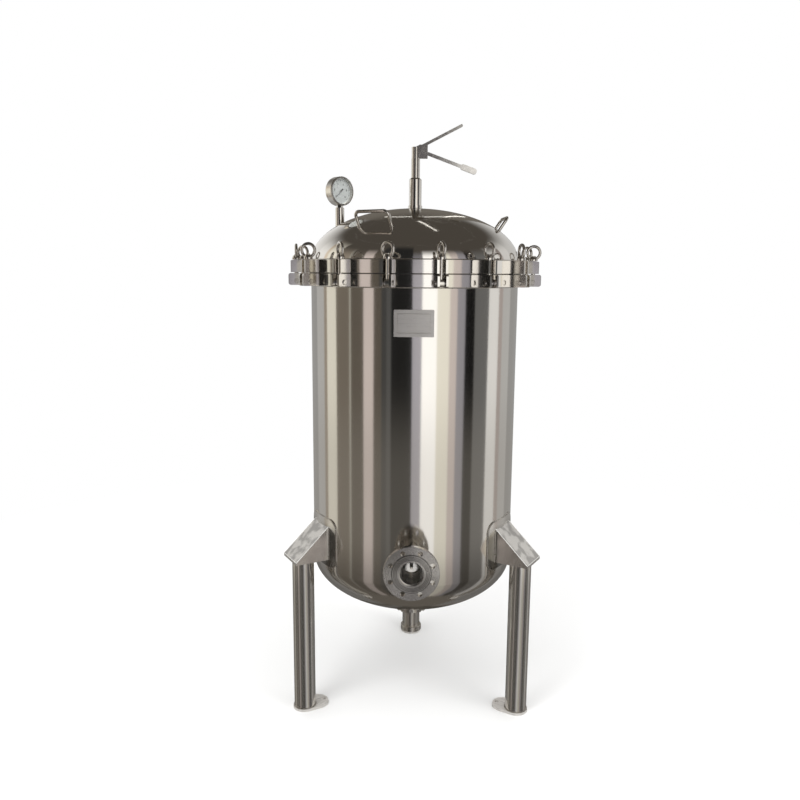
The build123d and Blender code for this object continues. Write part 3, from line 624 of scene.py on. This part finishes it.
def bracket_welds():
    """Cheeks and sloping plate where they stand on the pad."""
    steps = 8
    half = bracket_width / 2
    pad_face = shell_radius + pad_thickness
    top = bracket_bottom + bracket_height - 0.008
    foot = reach_at(pad_face, half)
    corners = [Vector((foot, half, bracket_bottom))]
    for step in range(steps + 1):
        across = half * (1 - 2 * step / steps)
        corners.append(Vector((reach_at(pad_face, across), across, top)))
    corners.append(Vector((foot, -half, bracket_bottom)))
    paths = [[turned_to(angle) @ corner for corner in corners] for angle in leg_angles]
    beads("bracket_welds", paths, 0.0028, "vessel", closed=False)


def bracket_corners():
    """Rounded corners along the edges of each sloping plate, whose brighter finish is a painted highlight."""
    corner_radius = 0.0013
    outer = leg_circle + leg_tube_radius + bracket_overhang - corner_radius
    low = bracket_bottom + bracket_lip
    half = bracket_width / 2 - corner_radius / 2
    edges = [
        [Vector((shell_radius, -half, bracket_top)), Vector((outer, -half, low))],
        [Vector((shell_radius, half, bracket_top)), Vector((outer, half, low))],
        [Vector((outer, -half, low)), Vector((outer, half, low))],
    ]
    paths = [[turned_to(angle) @ end for end in edge] for angle in leg_angles for edge in edges]
    beads("bracket_corners", paths, corner_radius, "vessel", closed=False, rippled=False,
          material=bright_edge)


def foot_welds():
    paths = [
        circle(leg_tube_radius + stand_off, foot_top + stand_off, polar(leg_circle, angle, 0)[:2])
        for angle in leg_angles
    ]
    beads("foot_welds", paths, 0.003, "vessel")


def dome_welds():
    """Collar of the vent and socket of the gauge, where they stand on the dome."""
    collar = circle(vent_collar_radius + stand_off, dome_level(vent_collar_radius) + stand_off)
    beads("vent_weld", [collar], 0.0022, "cover")
    path = []
    for turn in turns(64):
        spot = Vector((-socket_circle, 0, 0)) + polar(socket_radius + fine_stand_off, turn, 0)
        spot.z = dome_level(spot.xy.length) + fine_stand_off
        path.append(spot)
    beads("socket_weld", [path], 0.0022, "cover")


def handle_welds():
    """Both feet of each handle. A ring round the bar is slid along it until it lies on the dome."""
    slides = 3
    foot_radius = handle_bar_radius + fine_stand_off
    level = dome_level(handle_circle)
    slope = Vector((handle_circle / shell_radius**2, 0, (level - dome_base) / head_depth**2))
    out = slope.normalized()
    aside = Vector((0, 1, 0))
    along = out.cross(aside)
    paths = []
    for angle in handle_angles:
        for side in (-1, 1):
            foot = Vector((handle_circle, side * handle_half_span, level))
            path = []
            for turn in turns(32):
                spot = foot + foot_radius * (math.cos(turn) * aside + math.sin(turn) * along)
                for _ in range(slides):
                    spot += out * (dome_level(spot.xy.length) - spot.z) * out.z
                path.append(turned_to(angle) @ spot)
            paths.append(path)
    beads("handle_welds", paths, 0.0018, "cover")


def outlet_weld():
    edge = circle(outlet_pad_radius, head_level(outlet_pad_radius) - stand_off)
    beads("outlet_weld", [edge], 0.003, "vessel")


def plate_border():
    """A narrow raised frame pressed into the nameplate, just inside its rivets."""
    low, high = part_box("nameplate")
    rivet_height, sink = 0.0012, 0.0001
    inset, width, rise = 0.0125, 0.0022, 0.0006
    face = low.y + rivet_height
    half_width, half_height = (high.x - low.x) / 2, (high.z - low.z) / 2
    middle = (high.z + low.z) / 2
    section = ((inset, 0), (inset + width * 0.3, rise), (inset + width * 0.7, rise), (inset + width, 0))
    points = []
    for distance, out in section:
        for sign_x, sign_z in ((1, 1), (-1, 1), (-1, -1), (1, -1)):
            level = middle + sign_z * (half_height - distance)
            points.append((sign_x * (half_width - distance), face - out + sink, level))
    faces = [face for row in range(3) for face in band(4, 4 * row)]
    mesh_piece("plate_border", points, faces, satin, "vessel", smooth=False)


# Dial, sizes counted from the middle of its pivot
dial_level = 0.005
dial_radius = 0.0475
dial_thickness = 0.0004
print_thickness = 0.0001
scale_start = 225
scale_sweep = 270
scale_end = 10
marks_per_number = 5
mark_outer = 0.0435
long_mark_inner = 0.0365
short_mark_inner = 0.040
long_mark_half_width = 0.0005
short_mark_half_width = 0.00025
number_circle = 0.029
number_size = 0.0105


def scale_angle(value):
    return math.radians(scale_start - scale_sweep * value / scale_end)


def gauge_dial():
    """White dial with a plain scale from 0 to 10."""
    pivot = Vector(joints["pointer_turn"]["pos_m"])
    out = -Vector(joints["pointer_turn"]["axis"]).normalized()
    right = Vector((-out.y, out.x, 0))
    up = Vector((0, 0, 1))

    def at(x, y, height):
        return pivot + right * x + up * y + out * (dial_level + height)

    count = 72
    rim = [(dial_radius * math.cos(turn), dial_radius * math.sin(turn)) for turn in turns(count)]
    points = [at(x, y, height) for height in (print_thickness, dial_thickness) for x, y in rim]
    faces = [tuple(reversed(range(count))), tuple(range(count, 2 * count))] + band(count)
    mesh_piece("gauge_dial", points, faces, enamel, "cover", smooth=False)

    points, faces = [], []
    for mark in range(scale_end * marks_per_number + 1):
        turn = scale_angle(mark / marks_per_number)
        inner, half = short_mark_inner, short_mark_half_width
        if mark % marks_per_number == 0:
            inner, half = long_mark_inner, long_mark_half_width
        along = Vector((math.cos(turn), math.sin(turn)))
        side = Vector((-math.sin(turn), math.cos(turn)))
        base = len(points)
        for height in (dial_thickness - print_thickness, dial_thickness + print_thickness):
            for reach, offset in ((inner, -half), (mark_outer, -half), (mark_outer, half), (inner, half)):
                spot = along * reach + side * offset
                points.append(at(spot.x, spot.y, height))
        faces += [(base + 3, base + 2, base + 1, base), (base + 4, base + 5, base + 6, base + 7)]
        faces += band(4, base)
    mesh_piece("dial_ticks", points, faces, black, "cover", smooth=False)

    for number in range(0, scale_end + 1, 2):
        turn = scale_angle(number)
        words = bpy.data.curves.new(f"dial_number_{number}", "FONT")
        words.body = str(number)
        words.size = number_size
        words.extrude = print_thickness
        words.align_x = "CENTER"
        words.align_y = "CENTER"
        words.materials.append(black)
        piece = put(f"dial_number_{number}", words)
        spot = at(number_circle * math.cos(turn), number_circle * math.sin(turn),
                  dial_thickness + print_thickness)
        piece.matrix_world = Matrix.Translation(spot) @ Matrix((right, up, out)).transposed().to_4x4()
        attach(piece, "cover")


inlet_weld()
flange_weld()
ring_welds()
ear_welds()
pad_welds()
bracket_welds()
bracket_corners()
foot_welds()
dome_welds()
handle_welds()
outlet_weld()
plate_border()
gauge_dial()


# World, floor and lamps
floor_radius = 40
floor_clear_start = 1.3      # from here the floor fades to the white of the background
floor_clear_end = 3.5
inlet_lamp_place = (0, -2.4, 1.462)
inlet_lamp_aim = (0, -0.345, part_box("tube_sheet")[1].z)
inlet_lamp_cone = math.radians(1.2)
room_lamp_aim = (0, 0, 1.0)


def background_rays(tree):
    """1 for the rays that look at the background: from the camera, and by way of metal and glass."""
    path = tree.nodes.new("ShaderNodeLightPath")
    total = path.outputs["Is Camera Ray"]
    for name in ("Is Glossy Ray", "Is Transmission Ray"):
        add = tree.nodes.new("ShaderNodeMath")
        add.operation = "MAXIMUM"
        tree.links.new(total, add.inputs[0])
        tree.links.new(path.outputs[name], add.inputs[1])
        total = add.outputs[0]
    return total


def mixed(tree, share, first, second, output):
    """Two shaders, mixed by a share and led to an output."""
    mix = tree.nodes.new("ShaderNodeMixShader")
    tree.links.new(share, mix.inputs[0])
    tree.links.new(first.outputs[0], mix.inputs[1])
    tree.links.new(second.outputs[0], mix.inputs[2])
    tree.links.new(mix.outputs[0], output.inputs[0])


def add_world():
    world = bpy.data.worlds.new("world")
    world.use_nodes = True
    tree = world.node_tree
    light = tree.nodes["Background"]
    light.inputs["Color"].default_value = (1, 1, 1, 1)
    light.inputs["Strength"].default_value = 1.0
    white = tree.nodes.new("ShaderNodeBackground")
    white.inputs["Color"].default_value = (1, 1, 1, 1)
    mixed(tree, background_rays(tree), light, white, tree.nodes["World Output"])
    bpy.context.scene.world = world


def add_floor():
    shade = Shader("pale_floor")
    shade.set(base_color=(0.95, 0.95, 0.945, 1), roughness=0.8)
    shade.surface.inputs["Specular IOR Level"].default_value = 0.1
    distance = shade.vector("LENGTH", shade.place())
    far = shade.between(distance, floor_clear_start, floor_clear_end, 0.0, 1.0)
    seen = shade.maths("MULTIPLY", far, background_rays(shade.tree))
    white = shade.tree.nodes.new("ShaderNodeEmission")
    mixed(shade.tree, seen, shade.surface, white, shade.output)
    rim = circle(floor_radius, 0, count=64)
    floor = put("floor", new_mesh("floor", rim, [tuple(range(len(rim)))], shade.material))
    floor.visible_glossy = False


def add_lamp(name, kind, place, aim, power, **settings):
    """A lamp at one place that shines towards another, and that no polish mirrors."""
    data = bpy.data.lights.new(name, kind)
    data.energy = power
    for setting, value in settings.items():
        setattr(data, setting, value)
    lamp = put(name, data)
    lamp.location = place
    lamp.rotation_euler = (Vector(aim) - Vector(place)).to_track_quat("-Z", "Y").to_euler()
    lamp.visible_glossy = False


# Cards that stand round the object for the polish to mirror; only reflections see them
card_radius = 2.0
card_step = 0.05             # azimuth between the points of a card
card_top = 4.3
card_fade_low = 2.0          # from here up a card darkens into the ceiling
card_fade_high = 3.2
card_depth = 3.2             # below floor level the cards stand for what a polished floor mirrors
card_side = 0.99             # share of the shell's half width beyond which the rear cards start
floor_share = 0.35           # how much of the floor's own tone is mixed into that
floor_dim = 0.5
floor_blend = 0.15
haze_share = 0.3             # the lower part of each card is mixed with a middling tone
haze_tone = (0.29, 0.27, 0.24)
haze_low = 0.55
haze_high = 1.15
crown_low = 1.75             # from here up only the dome mirrors a card
crown_high = 1.9
ceiling_tone = (0.075, 0.066, 0.056)
floor_tone = (0.24, 0.215, 0.185)

neutral = (1.0, 0.99, 0.97)
cream = (1.0, 0.96, 0.84)
rose = (1.0, 0.88, 0.83)
lilac = (0.95, 0.92, 1.0)
brown = (1.0, 0.86, 0.70)
olive = (1.0, 0.93, 0.74)

# Where each card's image starts on the shell, as a share of its half width, with its tone and level
cards = (
    ("left_wall", -card_side, neutral, 0.34),
    ("left_door", -0.90, neutral, 0.48),
    ("left_frame", -0.82, brown, 0.33),
    ("left_window", -0.79, cream, 0.80),
    ("left_shelf", -0.695, brown, 0.18),
    ("left_strip", -0.57, cream, 0.42),
    ("left_cabinet", -0.553, brown, 0.125),
    ("rose_panel", -0.44, rose, 0.66),
    ("brown_panel", -0.35, brown, 0.11),
    ("dark_door", -0.28, neutral, 0.06),
    ("grey_post", -0.235, neutral, 0.10),
    ("dark_gap", -0.195, neutral, 0.015),
    ("lilac_panel", -0.015, lilac, 0.48),
    ("bright_window", 0.068, neutral, 1.28),
    ("cream_wall", 0.20, cream, 0.95),
    ("rose_wall", 0.31, rose, 0.66),
    ("lilac_wall", 0.375, lilac, 0.34),
    ("black_post", 0.445, neutral, 0.008),
    ("grey_door", 0.53, neutral, 0.15),
    ("right_window", 0.66, neutral, 0.82),
    ("right_frame", 0.76, rose, 0.42),
    ("right_wall", 0.80, neutral, 0.50),
    ("right_corner", 0.88, neutral, 0.34),
)

# Upper part of some cards: level, and the heights between which it fades into the ceiling
crowns = {
    "left_wall": (0.85, 2.2, 3.7), "left_door": (0.95, 2.2, 3.7), "left_frame": (0.8, 2.2, 3.7),
    "left_window": (0.95, 2.2, 3.7), "left_shelf": (0.3, 2.0, 3.2), "dark_door": (0.03, 3.0, 4.2),
    "grey_post": (0.05, 3.0, 4.2), "dark_gap": (0.02, 3.0, 4.2), "lilac_panel": (0.2, 2.0, 3.0),
    "right_corner": (0.6, 2.4, 3.6), "right_wall": (0.7, 2.4, 3.6),
}

# Cards behind the object, which share what is left of the circle
rear_cards = ((rose, 0.3), (olive, 0.06), (olive, 0.10), (olive, 0.05), (neutral, 0.22), (olive, 0.12))
rear_crown = (0.16, 0.145, 0.125)
rear_fades = (3.0, 4.2)

# Thin lamps that show only as streaks in the dome
tube_width = 0.03
tube_colour = (1, 0.98, 0.92, 1)
tube_strength = 2.5
tube_paths = (
    ((-0.44, 1.85, 3.44), (-0.25, 1.88, 3.77), (0.17, 1.89, 3.81), (0.43, 1.85, 3.39), (0.48, 1.84, 2.64)),
    ((0.07, 1.53, 4.28), (0.30, 0.83, 4.28), (0.58, 0.29, 4.28)),
)


def mirrored_only(name, points, faces, material):
    """A surface of the room, which only reflections see."""
    piece = put(name, new_mesh(name, points, faces, material))
    piece.visible_camera = False
    piece.visible_diffuse = False
    piece.visible_shadow = False
    piece.visible_transmission = False


def glow_material(name, strength=1.0):
    """A material that only glows, and the socket of its colour."""
    material = bpy.data.materials.new(name)
    material.use_nodes = True
    tree = material.node_tree
    tree.nodes.clear()
    glow = tree.nodes.new("ShaderNodeEmission")
    glow.inputs["Strength"].default_value = strength
    out = tree.nodes.new("ShaderNodeOutputMaterial")
    tree.links.new(glow.outputs[0], out.inputs[0])
    return material, glow.inputs["Color"]


def card_material(name, tone, crown=None, fades=(card_fade_low, card_fade_high)):
    """A card's tone at the height of the shell, with haze and the floor's tone below it, a crown's tone
    above it where there is one, and the ceiling's at the top."""
    material, colour = glow_material(name)
    tree = material.node_tree
    place = tree.nodes.new("ShaderNodeTexCoord")
    split = tree.nodes.new("ShaderNodeSeparateXYZ")
    tree.links.new(place.outputs["Object"], split.inputs[0])

    def fade(low, high, first, second):
        span = tree.nodes.new("ShaderNodeMapRange")
        span.interpolation_type = "SMOOTHSTEP"
        tree.links.new(split.outputs["Z"], span.inputs[0])
        span.inputs[1].default_value = low
        span.inputs[2].default_value = high
        mix = tree.nodes.new("ShaderNodeMix")
        mix.data_type = "RGBA"
        tree.links.new(span.outputs[0], mix.inputs["Factor"])
        for socket, value in ((mix.inputs[6], first), (mix.inputs[7], second)):
            if isinstance(value, bpy.types.NodeSocket):
                tree.links.new(value, socket)
            else:
                socket.default_value = (*value, 1)
        return mix.outputs[2]

    base = tuple(floor_dim * ((1 - floor_share) * t + floor_share * f) for t, f in zip(tone, floor_tone))
    haze = tuple((1 - haze_share) * t + haze_share * h for t, h in zip(tone, haze_tone))
    lower = fade(haze_low, haze_high, fade(-floor_blend, floor_blend, base, haze), tone)
    middle = fade(crown_low, crown_high, lower, crown) if crown else lower
    tree.links.new(fade(*fades, middle, ceiling_tone), colour)
    return material


def card_azimuth(share):
    """Azimuth, counted from the camera's side, of what the shell mirrors at a share of its half width."""
    spot = Vector((share, -math.sqrt(max(0, 1 - share**2)))) * shell_radius
    sight = (spot - eye.xy).normalized()
    normal = spot.normalized()
    mirrored = sight - 2 * sight.dot(normal) * normal
    middle = spot.dot(mirrored)
    ahead = math.sqrt(middle**2 - spot.length_squared + card_radius**2) - middle
    hit = spot + ahead * mirrored
    return math.atan2(hit.x, -hit.y)


def add_card(name, start, end, material):
    """A curved card between two azimuths."""
    count = max(2, round(abs(end - start) / card_step))
    points = []
    for index in range(count + 1):
        azimuth = start + (end - start) * index / count
        for level in (-card_depth, card_top):
            points.append(polar(card_radius, azimuth - math.pi / 2, level))
    faces = [(first, first + 2, first + 3, first + 1) for first in range(0, 2 * count, 2)]
    mirrored_only(name, points, faces, material)


def add_cards():
    edges = [card_azimuth(start) for _, start, _, _ in cards] + [card_azimuth(card_side)]
    for (part, _, tone, level), start, end in zip(cards, edges, edges[1:]):
        crown, *fades = crowns.get(part, (level, card_fade_low, card_fade_high))
        name = f"card_{part}"
        add_card(name, start, end, card_material(name, scaled(tone, level), scaled(tone, crown), fades))
    behind = 2 * math.pi + edges[0] - edges[-1]
    for index, (tone, level) in enumerate(rear_cards):
        start = edges[-1] + behind * index / len(rear_cards)
        end = edges[-1] + behind * (index + 1) / len(rear_cards)
        name = f"card_rear_{index + 1}"
        add_card(name, start, end, card_material(name, scaled(tone, level), rear_crown, rear_fades))


def add_flat_card(name, level, tone):
    """A round card that lies level, over the object or deep under it."""
    hole_radius, count = 0.001, 64
    points = circle(hole_radius, level, count=count) + circle(card_radius, level, count=count)
    mirrored_only(name, points, band(count), card_material(name, tone))


def add_tube(path):
    """A thin lamp along a path, turned to face the top of the dome."""
    points = [Vector(place) for place in path]
    sides = []
    for index, spot in enumerate(points):
        along = (points[min(index + 1, len(points) - 1)] - points[max(index - 1, 0)]).normalized()
        towards = Vector((-spot.x, -spot.y, dome_top - spot.z)).normalized()
        sides.append(along.cross(towards).normalized() * tube_width / 2)
    vertices = [spot + side * sign for spot, side in zip(points, sides) for sign in (-1, 1)]
    faces = [(first, first + 1, first + 3, first + 2) for first in range(0, 2 * len(points) - 2, 2)]
    material, colour = glow_material("lamp_tube", tube_strength)
    colour.default_value = tube_colour
    mirrored_only("lamp_tube", vertices, faces, material)


add_camera()
add_world()
add_floor()
add_cards()
add_flat_card("card_ceiling", card_top, ceiling_tone)
add_flat_card("card_depth", -card_depth, floor_tone)
for path in tube_paths:
    add_tube(path)
# A narrow beam into the inlet, so that what stands behind it is seen
add_lamp("inlet_lamp", "SPOT", inlet_lamp_place, inlet_lamp_aim, power=1000,
         spot_size=inlet_lamp_cone, spot_blend=0.4, shadow_soft_size=0.005)
add_lamp("key_lamp", "AREA", (-2.2, -2.6, 4.2), room_lamp_aim, power=80, shape="DISK", size=2.2)
add_lamp("fill_lamp", "AREA", (2.8, -1.6, 3.4), room_lamp_aim, power=45, shape="DISK", size=2.6)

scene = bpy.context.scene
scene.view_settings.view_transform = "Standard"
